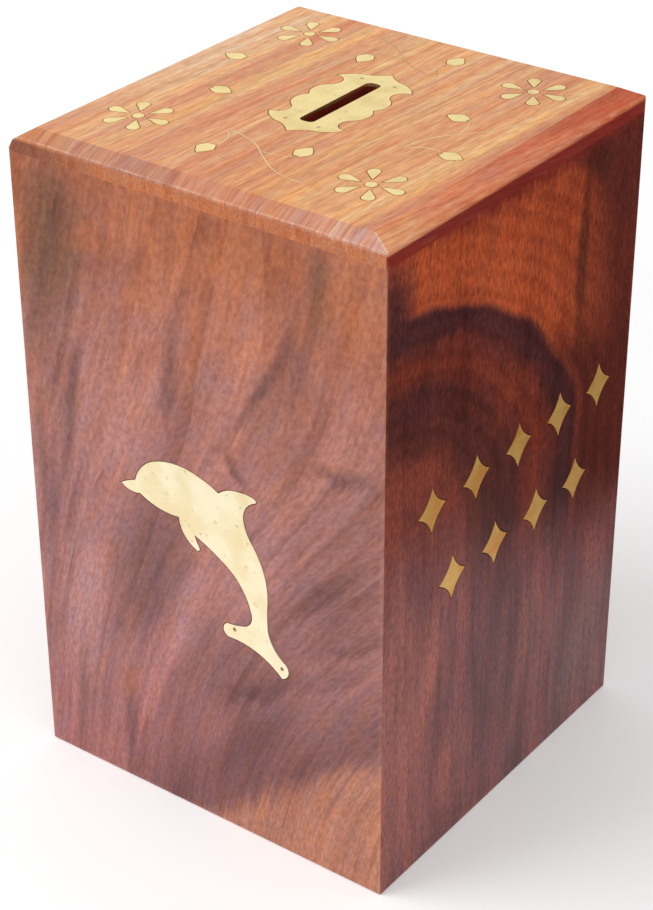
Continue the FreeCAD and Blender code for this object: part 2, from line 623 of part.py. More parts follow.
# Lock, modelled unlocked: the cam lies along the edge of the door.
def build_lock():
    bore = "barrel_radius + turn_clear"
    head_bore = "barrel_head_radius + turn_clear"
    head_floor = "barrel_head_thick + end_play/2 - flange_thick"
    housing_high = "base_thick + cam_lift - end_play"
    node("lock_housing", turned("lock_housing", [
        (bore, head_floor), (head_bore, head_floor), (head_bore, "-flange_thick"),
        ("flange_radius", "-flange_thick"), ("flange_radius", "0"), ("lock_radius", "0"),
        ("lock_radius", housing_high), (bore, housing_high)], lock_x, "0", base_low))

    nut_low = f"{base_low} + door_thick"
    hexagon = doc.addObject("Part::Prism", "nut_hexagon")
    hexagon.Polygon = 6
    bind(place(hexagon, lock_x, "0", nut_low), Circumradius="nut_radius", Height="nut_thick")
    nut_hole = rod("nut_hole", "lock_radius + snug_clear", "nut_thick", (lock_x, "0", nut_low))
    node("lock_nut", cut("lock_nut", hexagon, nut_hole))

    face = f"({base_low} - flange_thick)"
    shank = turned("barrel_shank", [
        ("0", "-flange_thick"), ("barrel_head_radius", "-flange_thick"),
        ("barrel_head_radius", "barrel_head_thick - flange_thick"),
        ("barrel_radius", "barrel_head_thick - flange_thick"),
        ("barrel_radius", "base_thick + cam_lift"), ("0", "base_thick + cam_lift")], lock_x, "0", base_low)
    tenon = block("barrel_tenon", (f"{lock_x} - tenon_wide/2", "-tenon_wide/2", cam_low),
                  (f"{lock_x} + tenon_wide/2", "tenon_wide/2", f"{cam_low} + cam_thick - end_play/2"))
    keyhole = block("keyhole", (f"{lock_x} - key_slot_wide/2", "-key_slot_long/2", face),
                    (f"{lock_x} + key_slot_wide/2", "key_slot_long/2", f"{face} + key_slot_deep"))
    screw_bore = rod("cam_screw_bore", "cam_screw_radius + snug_clear", "cam_screw_deep",
                     (lock_x, "0", f"{cam_low} + cam_thick - cam_screw_deep"))
    keyed = cut("barrel_keyed", fuse("barrel_blank", [shank, tenon]), keyhole)
    node("lock_barrel", cut("lock_barrel", keyed, screw_bore))

    tip_y = f"(cam_width/2 - {cam_reach})"
    cam_blank = fuse("cam_blank", [
        rod("cam_hub", "cam_width/2", "cam_thick", (lock_x, "0", cam_low)),
        block("cam_arm", (f"{lock_x} - cam_width/2", tip_y, cam_low),
              (f"{lock_x} + cam_width/2", "0", f"{cam_low} + cam_thick")),
        rod("cam_tip", "cam_width/2", "cam_thick", (lock_x, tip_y, cam_low))])
    tenon_hole = block("cam_tenon_hole",
                       (f"{lock_x} - tenon_wide/2 - snug_clear", "-tenon_wide/2 - snug_clear", cam_low),
                       (f"{lock_x} + tenon_wide/2 + snug_clear", "tenon_wide/2 + snug_clear",
                        f"{cam_low} + cam_thick"))
    node("lock_cam", cut("lock_cam", cam_blank, tenon_hole))

    head_low = f"({cam_low} + cam_thick)"
    head = fuse("cam_screw_blank", [
        rod("cam_screw_shank", "cam_screw_radius", "cam_screw_deep",
            (lock_x, "0", f"{head_low} - cam_screw_deep")),
        rod("cam_screw_head", "cam_head_radius", "cam_head_thick", (lock_x, "0", head_low))])
    driver_slot = block("cam_screw_slot",
                        (f"{lock_x} - cam_head_radius", "-screw_slot_wide",
                         f"{head_low} + cam_head_thick/2"),
                        (f"{lock_x} + cam_head_radius", "screw_slot_wide", f"{head_low} + cam_head_thick"))
    node("cam_screw", cut("cam_screw", head, driver_slot))


def check_and_write():
    doc.recompute()
    failed = [item.Name for item in doc.Objects if {"Invalid", "Error"} & set(item.State)]
    if failed:
        raise RuntimeError(f"these objects failed: {failed}")
    for label, item in nodes.items():
        if item.Shape.isNull() or not item.Shape.isValid() or not item.Shape.Solids:
            raise RuntimeError(f"{label} has no valid solid")
    os.makedirs("parts", exist_ok=True)
    for label, item in nodes.items():
        item.Shape.exportStep(f"parts/{label}.step")
        print(f"{label}: {len(item.Shape.Solids)} solids, {item.Shape.Volume:.1f} mm3")


trim = sanded_block()
build_walls(trim)
build_top(trim)
build_base()
build_lock()
check_and_write()
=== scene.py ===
import bpy
import math
from mathutils import Matrix, Vector


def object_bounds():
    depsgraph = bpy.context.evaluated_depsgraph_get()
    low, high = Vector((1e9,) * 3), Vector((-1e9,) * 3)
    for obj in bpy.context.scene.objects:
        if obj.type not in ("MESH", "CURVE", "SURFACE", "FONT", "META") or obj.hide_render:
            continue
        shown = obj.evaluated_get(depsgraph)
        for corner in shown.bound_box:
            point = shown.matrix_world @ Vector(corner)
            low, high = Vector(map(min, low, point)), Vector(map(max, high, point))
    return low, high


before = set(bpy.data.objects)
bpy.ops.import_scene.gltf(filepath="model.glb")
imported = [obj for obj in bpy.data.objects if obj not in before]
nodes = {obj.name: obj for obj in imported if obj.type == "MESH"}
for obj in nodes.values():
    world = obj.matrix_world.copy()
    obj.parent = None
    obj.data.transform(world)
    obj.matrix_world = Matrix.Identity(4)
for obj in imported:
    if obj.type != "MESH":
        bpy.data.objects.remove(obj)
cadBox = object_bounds()
mm = 0.001
halfWide, halfDeep, boxHigh = cadBox[1]
print("frame loaded:", len(nodes), "nodes")


# Colours are given in screen levels of 0 to 255 and turned into light by the standard curve.
screenCurve = {"knee": 0.04045, "slope": 12.92, "offset": 0.055, "power": 2.4}


def linearChannel(level):
    if level <= screenCurve["knee"]:
        return level / screenCurve["slope"]
    return ((level + screenCurve["offset"]) / (1 + screenCurve["offset"])) ** screenCurve["power"]


def linearColour(levels):
    return tuple(linearChannel(level / 255) for level in levels) + (1.0,)


# Small helpers for building node trees.
def addNode(tree, kind, **settings):
    item = tree.nodes.new(kind)
    for key, setting in settings.items():
        setattr(item, key, setting)
    return item


def feed(tree, socket, source):
    if isinstance(source, bpy.types.NodeSocket):
        tree.links.new(source, socket)
    else:
        socket.default_value = source


def calc(tree, operation, first, second=0.0, third=0.0):
    item = addNode(tree, "ShaderNodeMath", operation=operation)
    for socket, source in zip(item.inputs, (first, second, third)):
        feed(tree, socket, source)
    return item.outputs[0]


def plus(tree, first, second):
    return calc(tree, "ADD", first, second)


def minus(tree, first, second):
    return calc(tree, "SUBTRACT", first, second)


def times(tree, first, second):
    return calc(tree, "MULTIPLY", first, second)


def remap(tree, source, low, high, newLow=0.0, newHigh=1.0, smooth=True):
    curve = "SMOOTHSTEP" if smooth else "LINEAR"
    item = addNode(tree, "ShaderNodeMapRange", interpolation_type=curve)
    for name, part in (("Value", source), ("From Min", low), ("From Max", high),
                       ("To Min", newLow), ("To Max", newHigh)):
        feed(tree, item.inputs[name], part)
    return item.outputs["Result"]


def mixColour(tree, factor, first, second, blend="MIX"):
    item = addNode(tree, "ShaderNodeMix", data_type="RGBA", blend_type=blend)
    sockets = (item.inputs["Factor"], item.inputs[6], item.inputs[7])     # 6 and 7 take the colours
    for socket, source in zip(sockets, (factor, first, second)):
        feed(tree, socket, source)
    return item.outputs[2]


def noise(tree, vector, scale, detail=2.0, roughness=0.5):
    item = addNode(tree, "ShaderNodeTexNoise")
    for name, source in (("Vector", vector), ("Scale", scale), ("Detail", detail), ("Roughness", roughness)):
        feed(tree, item.inputs[name], source)
    return item.outputs["Fac"]


# A noise centred on zero, to push a line about.
def sway(tree, vector, row):
    centred = minus(tree, noise(tree, vector, row["scale"], row["detail"]), 0.5)
    return times(tree, centred, row["reach"])


# A noise cut between two levels, to leave soft patches.
def patches(tree, vector, row):
    clouds = noise(tree, vector, row["scale"], row["detail"], row["roughness"])
    return remap(tree, clouds, row["low"], row["high"])


def ramp(tree, source, stops):
    item = addNode(tree, "ShaderNodeValToRGB")
    item.color_ramp.interpolation = "EASE"
    points = item.color_ramp.elements
    while len(points) < len(stops):
        points.new(0.5)
    for point, (position, colour) in zip(points, stops):
        point.position = position
        point.color = linearColour(colour)
    feed(tree, item.inputs["Fac"], source)
    return item.outputs["Color"]


def joinAxes(tree, x, y, z):
    item = addNode(tree, "ShaderNodeCombineXYZ")
    for socket, source in zip(item.inputs, (x, y, z)):
        feed(tree, socket, source)
    return item.outputs[0]


def objectAxes(tree):
    coords = addNode(tree, "ShaderNodeTexCoord")
    split = addNode(tree, "ShaderNodeSeparateXYZ")
    tree.links.new(coords.outputs["Object"], split.inputs[0])
    return (coords.outputs["Object"], *split.outputs)


def newGroup(name, inputs, outputs):
    tree = bpy.data.node_groups.new(name, "ShaderNodeTree")
    for direction, labels in (("INPUT", inputs), ("OUTPUT", outputs)):
        for label in labels:
            tree.interface.new_socket(label, in_out=direction, socket_type="NodeSocketFloat")
    return tree, addNode(tree, "NodeGroupInput").outputs, addNode(tree, "NodeGroupOutput").inputs


def placeGroup(tree, group, **sources):
    item = addNode(tree, "ShaderNodeGroup", node_tree=group)
    for name, source in sources.items():
        feed(tree, item.inputs[name], source)
    return item.outputs


def newMaterial(name, constants):
    material = bpy.data.materials.new(name)
    material.use_nodes = True
    shader = material.node_tree.nodes["Principled BSDF"]
    for key, setting in constants.items():
        shader.inputs[key].default_value = setting
    return material, material.node_tree, shader.inputs


def bumpFrom(tree, height, strength, distance):
    item = addNode(tree, "ShaderNodeBump")
    item.inputs["Strength"].default_value = strength
    item.inputs["Distance"].default_value = distance
    tree.links.new(height, item.inputs["Height"])
    return item.outputs["Normal"]


# Grain shared by every board: each pattern is stretched along the grain.
grainPattern = {
    "Streaks": dict(scale=62, stretch=0.11, detail=3, roughness=0.6, low=0.30, high=0.70),
    "Lines": dict(scale=430, stretch=0.05, detail=3, roughness=0.6, low=0.30, high=0.70),
    "Fibres": dict(scale=900, stretch=0.36, detail=2, roughness=0.6, low=0.25, high=0.75),
    "Pores": dict(scale=1000, stretch=0.25, detail=1, roughness=0.5, low=0.58, high=0.72),
    "Clouds": dict(scale=50, stretch=0.45, detail=4, roughness=0.65, low=0.42, high=0.66),
    "Tint": dict(scale=190, stretch=0.30, detail=3, roughness=0.6, low=0.30, high=0.70),
    "Rings": dict(scale=24, stretch=0.07, detail=2, roughness=0.4, count=13, power=2.5, least=0.35),
    "warmTint": (1.09, 1.0, 0.85, 1), "coolTint": (0.94, 1.0, 1.13, 1),
    "fibreHeight": 0.5, "bumpStrength": 0.2, "bumpDeep": 0.15,
}


def makeGrainGroup():
    look = grainPattern
    tree, given, out = newGroup("timberGrain", ("Across", "Along", "Seed"),
                                ("Streaks", "Rings", "Lines", "Fibres", "Pores", "Clouds", "Tint", "Height"))

    def stretched(row):
        along = times(tree, given["Along"], row["stretch"])
        spot = joinAxes(tree, given["Across"], given["Seed"], along)
        return noise(tree, spot, row["scale"], row["detail"], row["roughness"])

    raw, cut = {}, {}
    for label in ("Streaks", "Lines", "Fibres", "Pores", "Clouds", "Tint"):
        row = look[label]
        raw[label] = stretched(row)
        cut[label] = remap(tree, raw[label], row["low"], row["high"])
        feed(tree, out[label], cut[label])
    ringRow = look["Rings"]
    rings = calc(tree, "FRACT", times(tree, stretched(ringRow), ringRow["count"]))
    strong = remap(tree, cut["Clouds"], 0, 1, ringRow["least"], 1.0, smooth=False)
    feed(tree, out["Rings"], times(tree, calc(tree, "POWER", rings, ringRow["power"]), strong))
    feed(tree, out["Height"], minus(tree, times(tree, raw["Fibres"], look["fibreHeight"]), cut["Pores"]))
    return tree


# One soft mark of the timber's figure: a bent oval, for a dark streak, a pale patch or a lens.
def makeMarkGroup():
    tree, given, out = newGroup("figureMark", (
        "Across", "Up", "MidAcross", "MidUp", "Cosine", "Sine",
        "HalfLong", "HalfWide", "Bend", "Core"), ("Mask",))
    fromAcross = minus(tree, given["Across"], given["MidAcross"])
    fromUp = minus(tree, given["Up"], given["MidUp"])
    along = plus(tree, times(tree, fromAcross, given["Cosine"]), times(tree, fromUp, given["Sine"]))
    aside = minus(tree, times(tree, fromUp, given["Cosine"]), times(tree, fromAcross, given["Sine"]))
    bent = minus(tree, aside, times(tree, given["Bend"], times(tree, along, along)))
    shareLong = calc(tree, "DIVIDE", along, given["HalfLong"])
    shareWide = calc(tree, "DIVIDE", bent, given["HalfWide"])
    squares = plus(tree, times(tree, shareLong, shareLong), times(tree, shareWide, shareWide))
    feed(tree, out["Mask"], remap(tree, calc(tree, "SQRT", squares), 1.0, given["Core"]))
    return tree


arrisWearHighlight = {"uneven": dict(scale=90, detail=3, roughness=0.5, low=0.35, high=0.65)}


# Wear along the arrises, lightened as a painted highlight too. The distance to the nearest outer edge is the
# middle one of the distances to a side, to an end, and to the foot or the top.
def makeWearHighlightGroup():
    tree, given, out = newGroup("arrisWearHighlight", (
        "X", "Y", "Z", "HalfWide", "HalfDeep", "High", "Reach"), ("Mask",))
    fromSide = minus(tree, given["HalfWide"], calc(tree, "ABSOLUTE", given["X"]))
    fromEnd = minus(tree, given["HalfDeep"], calc(tree, "ABSOLUTE", given["Y"]))
    fromFoot = calc(tree, "MINIMUM", given["Z"], minus(tree, given["High"], given["Z"]))
    least, most = (calc(tree, kind, fromSide, fromEnd) for kind in ("MINIMUM", "MAXIMUM"))
    fromEdge = calc(tree, "MAXIMUM", least, calc(tree, "MINIMUM", most, fromFoot))
    uneven = patches(tree, joinAxes(tree, given["X"], given["Y"], given["Z"]), arrisWearHighlight["uneven"])
    feed(tree, out["Mask"], times(tree, remap(tree, fromEdge, given["Reach"], 0.0), uneven))
    return tree


grainGroup, markGroup, wearHighlightGroup = makeGrainGroup(), makeMarkGroup(), makeWearHighlightGroup()
lacquer = {"Coat Weight": 0.1, "Coat Roughness": 0.18, "Specular IOR Level": 0.25}
print("timber patterns made")


# A row of marks holds a colour, a strength, the middle across and up, a turn in degrees,
# half the length, half the width (lengths in mm) and a bend.
def addMarks(tree, colour, across, up, look):
    for name, strength, midAcross, midUp, turn, halfLong, halfThick, bend in look["marks"]:
        angle = math.radians(turn)
        mask = placeGroup(tree, markGroup, Across=across, Up=up, MidAcross=midAcross * mm, MidUp=midUp * mm,
                          Cosine=math.cos(angle), Sine=math.sin(angle), HalfLong=halfLong * mm,
                          HalfWide=halfThick * mm, Bend=bend, Core=look["core"])["Mask"]
        colour = mixColour(tree, times(tree, mask, strength), colour, linearColour(look[name]))
    return colour


# Uneven ends for the marks: the lines of the grain pull them up and down.
def feathered(tree, grain, look):
    return times(tree, minus(tree, grain["Lines"], 0.5), look["feather"])


def addStreaks(tree, grain, colour, look, blend="MIX"):
    strength = times(tree, grain["Streaks"], look["streakDark"])
    return mixColour(tree, strength, colour, linearColour(look["streak"]), blend)


# What every board ends with: dark grain, a tint, pores, worn edges with a painted highlight, the sheen and
# the bump.
def finishBoard(tree, sockets, axes, grain, colour, look):
    for pattern, strength in (("Clouds", "cloudDark"), ("Rings", "ringDark"), ("Lines", "lineDark"),
                              ("Fibres", "fibreDark")):
        colour = mixColour(tree, times(tree, grain[pattern], look[strength]), colour,
                           linearColour(look["line"]), "MULTIPLY")
    tint = mixColour(tree, grain["Tint"], grainPattern["coolTint"], grainPattern["warmTint"])
    mottled = mixColour(tree, 1.0, colour, tint, "MULTIPLY")
    pored = mixColour(tree, times(tree, grain["Pores"], look["poreDark"]), mottled,
                      linearColour(look["pore"]))
    x, y, z = axes
    # painted highlight: the arrises are lightened, partly as rubbed wear and partly as light caught on the
    # edges
    wearHighlight = placeGroup(tree, wearHighlightGroup, X=x, Y=y, Z=z, HalfWide=halfWide, HalfDeep=halfDeep, High=boxHigh,
                      Reach=look["wearHighlightReach"] * mm)["Mask"]
    wornHighlight = mixColour(tree, times(tree, wearHighlight, look["wearHighlightPale"]), pored, linearColour(look["wearHighlight"]))
    feed(tree, sockets["Base Color"], wornHighlight)
    feed(tree, sockets["Roughness"], remap(tree, grain["Lines"], 0, 1, look["glossy"], look["matt"]))
    feed(tree, sockets["Normal"], bumpFrom(tree, grain["Height"], grainPattern["bumpStrength"],
                                           grainPattern["bumpDeep"] * mm))


# Front board: mauve below and warmer above, with dark streaks that lean to the right
# and a paler wedge in the lower right corner.
frontBoard = {
    "seed": 3.0, "drift": dict(scale=6, reach=0.007, detail=2), "lean": 0.14, "fan": 0.42, "fanHigh": 190,
    "foot": (209, 139, 137), "mauve": (210, 149, 144), "rose": (216, 148, 130), "warm": (226, 141, 96),
    "stops": ((0.05, "foot"), (0.40, "mauve"), (0.72, "rose"), (0.92, "warm")),
    "uneven": dict(scale=18, reach=0.25, detail=2), "streak": (134, 84, 82), "streakDark": 0.45,
    "olive": (140, 100, 78), "dark": (98, 58, 60), "orange": (208, 128, 84), "pink": (214, 160, 156),
    "core": 0.15, "feather": 0.003, "fray": dict(scale=45, reach=0.016, detail=4),
    "marks": [
        ("olive", 0.90, -62, 218, 84, 46, 22, 0), ("olive", 0.50, -70, 196, 86, 40, 9, 0),
        ("orange", 0.60, -78, 214, 90, 46, 4, 0), ("orange", 0.60, -42, 222, 12, 18, 8, 0),
        ("orange", 0.45, 16, 236, 20, 34, 12, 0), ("dark", 0.45, -12, 180, 82, 28, 5, 0),
        ("dark", 0.55, 29, 191, 62, 46, 4, 3), ("dark", 0.30, 33, 190, 62, 46, 12, 3),
        ("dark", 0.50, 15, 155, -48, 13, 4, 0), ("orange", 0.50, 0, 200, 80, 38, 5, 0),
        ("orange", 0.35, -30, 196, 80, 34, 4, 0), ("olive", 0.65, 51, 230, 86, 24, 8, 0),
        ("orange", 0.75, 64, 228, 86, 22, 7, 0), ("dark", 0.40, -59, 146, 82, 44, 5, 0),
        ("dark", 0.35, -70, 100, 84, 50, 5, 0), ("pink", 0.50, -56, 66, 84, 60, 14, 0),
        ("dark", 0.50, 29, 68, 27, 34, 8, 5), ("dark", 0.50, 22, 42, 46, 50, 12, 0),
        ("dark", 0.40, -14, 24, 78, 50, 16, 0), ("dark", 0.40, 54, 118, 48, 36, 6, 0),
        ("dark", 0.30, 60, 126, 66, 60, 30, 0), ("dark", 0.35, 14, 66, 56, 44, 24, 0),
        ("dark", 0.25, -64, 176, 84, 48, 16, 0), ("dark", 0.50, -36, 24, 86, 36, 5, 0),
        ("dark", 0.45, -60, 28, 84, 44, 4, 0), ("dark", 0.40, -4, 70, 66, 44, 7, 0),
        ("dark", 0.45, -24, 104, 78, 54, 24, 0), ("dark", 0.45, -55, 166, 80, 26, 4, 0),
        ("dark", 0.45, -73, 132, 86, 34, 4, 0), ("dark", 0.50, 60, 166, 8, 22, 5, 0),
        ("dark", 0.40, 66, 104, 40, 26, 4, 0), ("dark", 0.35, 62, 88, 46, 30, 5, 0),
        ("orange", 0.40, -36, 46, 60, 14, 8, 0),
    ],
    "wedge": (220, 152, 122), "wedgePale": 0.9, "wedgeFrom": 0, "wedgeTurn": 37, "wedgeSoft": 7,
    "bandReach": 38, "bandDark": 0.5,
    "line": (146, 96, 88), "cloudDark": 0.18, "ringDark": 0.36, "lineDark": 0.28, "fibreDark": 0.40,
    "pore": (84, 48, 44), "poreDark": 0.16,
    "wearHighlight": (206, 150, 120), "wearHighlightReach": 2.5, "wearHighlightPale": 0.35, "glossy": 0.34, "matt": 0.46,
}


def makeFrontWood():
    look = frontBoard
    material, tree, sockets = newMaterial("frontWood", lacquer)
    spot, x, y, z = objectAxes(tree)
    drift = sway(tree, spot, look["drift"])
    spread = remap(tree, z, 0, look["fanHigh"] * mm, 0, look["fan"])
    fanned = times(tree, plus(tree, x, halfWide), spread)
    upright = minus(tree, x, times(tree, z, look["lean"]))
    across = plus(tree, minus(tree, upright, fanned), drift)
    grain = placeGroup(tree, grainGroup, Across=across, Along=z, Seed=look["seed"])
    level = plus(tree, calc(tree, "DIVIDE", z, boxHigh), sway(tree, spot, look["uneven"]))
    ground = ramp(tree, level, [(position, look[name]) for position, name in look["stops"]])
    streaky = addStreaks(tree, grain, ground, look)
    frayed = plus(tree, feathered(tree, grain, look), sway(tree, spot, look["fray"]))
    ragged = plus(tree, z, frayed)
    figured = addMarks(tree, streaky, plus(tree, x, drift), ragged, look)
    # the wedge lies below a slanted line, with a dark band above it
    turn, soft = math.radians(look["wedgeTurn"]), look["wedgeSoft"] * mm
    below = minus(tree, times(tree, minus(tree, x, look["wedgeFrom"] * mm), math.sin(turn)),
                  times(tree, ragged, math.cos(turn)))
    wedge = times(tree, remap(tree, below, -soft, soft), look["wedgePale"])
    band = times(tree, remap(tree, below, -look["bandReach"] * mm, -soft), look["bandDark"])
    banded = mixColour(tree, band, figured, linearColour(look["dark"]))
    wedged = mixColour(tree, wedge, banded, linearColour(look["wedge"]))
    finishBoard(tree, sockets, (x, y, z), grain, wedged, look)
    return material


# Right board: a cathedral figure, an orange arch over a dark one, that runs down into upright streaks.
rightBoard = {
    "seed": 7.0, "bow": dict(scale=6, reach=0.012, detail=2),
    "archY": -77.5, "archZ": 141, "archWide": 114, "archHigh": 81, "archPower": 1.7,
    "wander": dict(scale=15, reach=0.11, detail=3), "blotch": dict(scale=60, reach=0.03, detail=3),
    "ember": (164, 76, 56), "dusk": (120, 56, 46), "rust": (158, 68, 44), "plum": (106, 53, 54),
    "orange": (224, 106, 52), "amber": (216, 98, 46), "umber": (124, 50, 36), "archShare": 0.58,
    "stops": ((0.0, "ember"), (0.186, "ember"), (0.297, "dusk"), (0.39, "dusk"), (0.464, "rust"),
              (0.557, "plum"), (0.592, "plum"), (0.622, "orange"), (0.92, "amber"), (1.0, "umber")),
    "outsideFrom": 1.0, "outsideFull": 1.08, "archFoot": 160, "archClear": 192,
    "blaze": (182, 78, 44), "dappled": 0.5,
    "dapples": dict(scale=55, detail=3, roughness=0.6, low=0.48, high=0.66),
    "dappleInner": (0.55, 0.72), "dappleOuter": (1.0, 0.86),
    "ripple": (150, 92, 80), "rippleTurns": 76, "rippleDark": 0.20, "rippleLow": -0.6,
    "rippleSway": dict(scale=15, reach=0.11, detail=1),
    "mauve": (168, 96, 92), "violet": (134, 74, 78), "streak": (150, 100, 92), "streakDark": 0.25,
    "sunkTop": 128, "sunkFoot": 88, "sunkSlope": 0.35, "sunkSway": dict(scale=20, reach=0.05, detail=2),
    "tan": (206, 120, 100), "edgeRed": (154, 50, 34), "dark": (84, 40, 28), "hazeReflection": (140, 98, 98),
    "core": 0.25, "feather": 0.003, "markSway": dict(scale=14, reach=0.012, detail=2),
    "marks": [
        ("dark", 0.85, 63, 224, -52, 36, 14, 0), ("umber", 0.92, 71, 212, 86, 90, 38, 0),
        ("dark", 0.70, 41, 205, 89, 46, 6, 0), ("rust", 0.35, 54, 178, -80, 24, 9, 0),
        ("ember", 0.60, -60, 162, 4, 26, 12, 0), ("orange", 0.50, -24, 226, -14, 40, 13, 0),
        ("plum", 0.95, -76, 228, 84, 26, 20, 0), ("rust", 0.55, -38, 204, -18, 18, 6, 0),
        ("rust", 0.50, 8, 172, -55, 18, 6, 0), ("plum", 0.60, -58, 190, -8, 28, 12, 0),
        ("edgeRed", 0.85, 10, 248, 0, 120, 9, 0), ("tan", 0.60, -50, 84, 86, 34, 7, 0),
        ("tan", 0.40, -68, 60, 88, 90, 24, 0), ("tan", 0.55, -38, 30, 88, 30, 7, 0),
        ("violet", 0.60, -22, 66, 84, 34, 9, 0), ("violet", 0.50, -10, 16, 86, 30, 9, 0),
        # the first mark on the next row is a painted reflection, low at the back end of the right side
        ("hazeReflection", 0.65, 56, 34, 60, 46, 24, 0), ("tan", 0.30, 10, 50, 88, 44, 6, 0),
        ("dark", 0.30, 26, 112, 60, 40, 14, 0),
    ],
    "line": (150, 92, 80), "cloudDark": 0.30, "ringDark": 0.25, "lineDark": 0.20, "fibreDark": 0.62,
    "pore": (58, 26, 24), "poreDark": 0.38,
    "wearHighlight": (172, 96, 70), "wearHighlightReach": 2.2, "wearHighlightPale": 0.30, "glossy": 0.30, "matt": 0.42,
}


def makeRightWood():
    look = rightBoard
    material, tree, sockets = newMaterial("rightWood", lacquer)
    spot, x, y, z = objectAxes(tree)
    across = plus(tree, y, sway(tree, spot, look["bow"]))
    grain = placeGroup(tree, grainGroup, Across=across, Along=z, Seed=look["seed"])
    ragged = plus(tree, z, feathered(tree, grain, look))
    # the rings of the arch count from 0 at its middle to 1 at its outer edge
    spanY = calc(tree, "DIVIDE", minus(tree, y, look["archY"] * mm), look["archWide"] * mm)
    spanZ = calc(tree, "DIVIDE", minus(tree, z, look["archZ"] * mm), look["archHigh"] * mm)
    shares = (calc(tree, "POWER", calc(tree, "MAXIMUM", span, 0.0), look["archPower"])
              for span in (spanY, spanZ))
    rings = calc(tree, "POWER", plus(tree, *shares), 1 / look["archPower"])
    uneven = plus(tree, sway(tree, spot, look["wander"]), sway(tree, spot, look["blotch"]))
    field = plus(tree, rings, uneven)
    arch = ramp(tree, times(tree, field, look["archShare"]),
                [(position, look[name]) for position, name in look["stops"]])
    outside = times(tree, remap(tree, field, look["outsideFrom"], look["outsideFull"]),
                    remap(tree, ragged, look["archClear"] * mm, look["archFoot"] * mm))
    arched = mixColour(tree, outside, arch, linearColour(look["umber"]))
    inside = times(tree, remap(tree, field, *look["dappleInner"]), remap(tree, field, *look["dappleOuter"]))
    dapples = times(tree, patches(tree, spot, look["dapples"]), inside)
    dappled = mixColour(tree, times(tree, dapples, look["dappled"]), arched, linearColour(look["blaze"]))
    turns = times(tree, plus(tree, rings, sway(tree, spot, look["rippleSway"])), look["rippleTurns"])
    ripples = remap(tree, calc(tree, "SINE", turns), look["rippleLow"], 1.0)
    rippled = mixColour(tree, times(tree, ripples, look["rippleDark"]), dappled,
                        linearColour(look["ripple"]), "MULTIPLY")
    # the upright streaks below the arch
    lower = mixColour(tree, grain["Streaks"], linearColour(look["mauve"]), linearColour(look["violet"]))
    slanted = plus(tree, plus(tree, ragged, times(tree, y, look["sunkSlope"])),
                   sway(tree, spot, look["sunkSway"]))
    sunk = remap(tree, slanted, look["sunkTop"] * mm, look["sunkFoot"] * mm)
    streaky = addStreaks(tree, grain, mixColour(tree, sunk, rippled, lower), look, "MULTIPLY")
    figured = addMarks(tree, streaky, plus(tree, y, sway(tree, spot, look["markSway"])), ragged, look)
    finishBoard(tree, sockets, (x, y, z), grain, figured, look)
    return material


# Top board: golden tan with straight streaks from front to back, and a painted highlight that makes it paler
# along the left edge.
topBoard = {
    "seed": 11.0, "drift": dict(scale=9, reach=0.004, detail=2), "lean": 0.05, "draw": 0.4, "endGrain": 3.0,
    "tan": (255, 217, 145), "gold": (255, 228, 148), "streak": (224, 152, 108), "streakDark": 0.95,
    "leftHighlight": (248, 222, 178), "core": 0.2, "feather": 0.03,
    "marks": [
        ("streak", 0.50, -43, -10, 87, 90, 4, 0), ("gold", 0.55, -33, 10, 88, 90, 5, 0),
        ("streak", 0.35, -18, -30, 88, 50, 5, 0), ("streak", 0.45, 19, -20, 87, 80, 3, 0),
        ("gold", 0.60, 26, -20, 86, 90, 5, 0), ("streak", 0.40, 40, 20, 87, 70, 5, 0),
        # the last mark on the next row is a painted highlight along the left edge
        ("gold", 0.50, 63, -10, 89, 90, 3, 0), ("leftHighlight", 0.85, -70, 6, 88, 110, 28, 0),
    ],
    "line": (216, 148, 109), "cloudDark": 0.10, "ringDark": 0.48, "lineDark": 0.46, "fibreDark": 0.60,
    "pore": (140, 88, 62), "poreDark": 0.28,
    "wearHighlight": (238, 196, 150), "wearHighlightReach": 2.0, "wearHighlightPale": 0.35, "glossy": 0.34, "matt": 0.46,
}
# The darker sides of the coin slot, and how far from the cut the darkening fades.
coinSlot = {"halfWide": 2.95, "halfLong": 20.5, "midY": 4.8, "darkTone": (128, 50, 36),
            "slotDarkFrom": 0.4, "slotDarkFull": 0.1}
# The planed border: the front and right bevels in their own tints, which partly paint the sheen and highlight
# each bevel catches, and the board's edge under them.
topBorder = {
    "bevelRise": 3.0, "frontBevel": 5.4, "rightBevel": 8.8, "crease": 0.3, "mitreSoft": 0.05, "sheenTinted": 0.8,
    "frontFacetSheen": ((0.02, (208, 163, 116)), (0.20, (190, 146, 128)), (0.36, (188, 143, 128)),
                   (0.55, (218, 169, 141)), (0.78, (207, 158, 142)), (0.96, (220, 188, 176))),
    "rightFacetSheen": ((0.02, (252, 192, 138)), (0.25, (240, 162, 120)), (0.50, (230, 146, 112)),
                   (0.90, (218, 112, 78))),
    "facetSway": dict(scale=40, reach=0.2, detail=2),
    "stripFrom": 3.4, "stripSoft": 1.2, "dark": (160, 108, 82), "warm": (213, 147, 103),
    "darkTo": -66, "warmFrom": -26, "stripSway": dict(scale=30, reach=0.06, detail=2),
    "red": (150, 50, 38), "redFrom": 1.0, "redFull": 0.3,
    "wornHighlight": (255, 236, 214), "highlightWide": 0.45, "highlightPale": 0.85, "highlightArris": 0.35,
    "rubbedHighlight": dict(scale=120, detail=3, roughness=0.5, low=0.40, high=0.60),
    "mitreWide": 0.06, "mitreCore": 0.02,
}


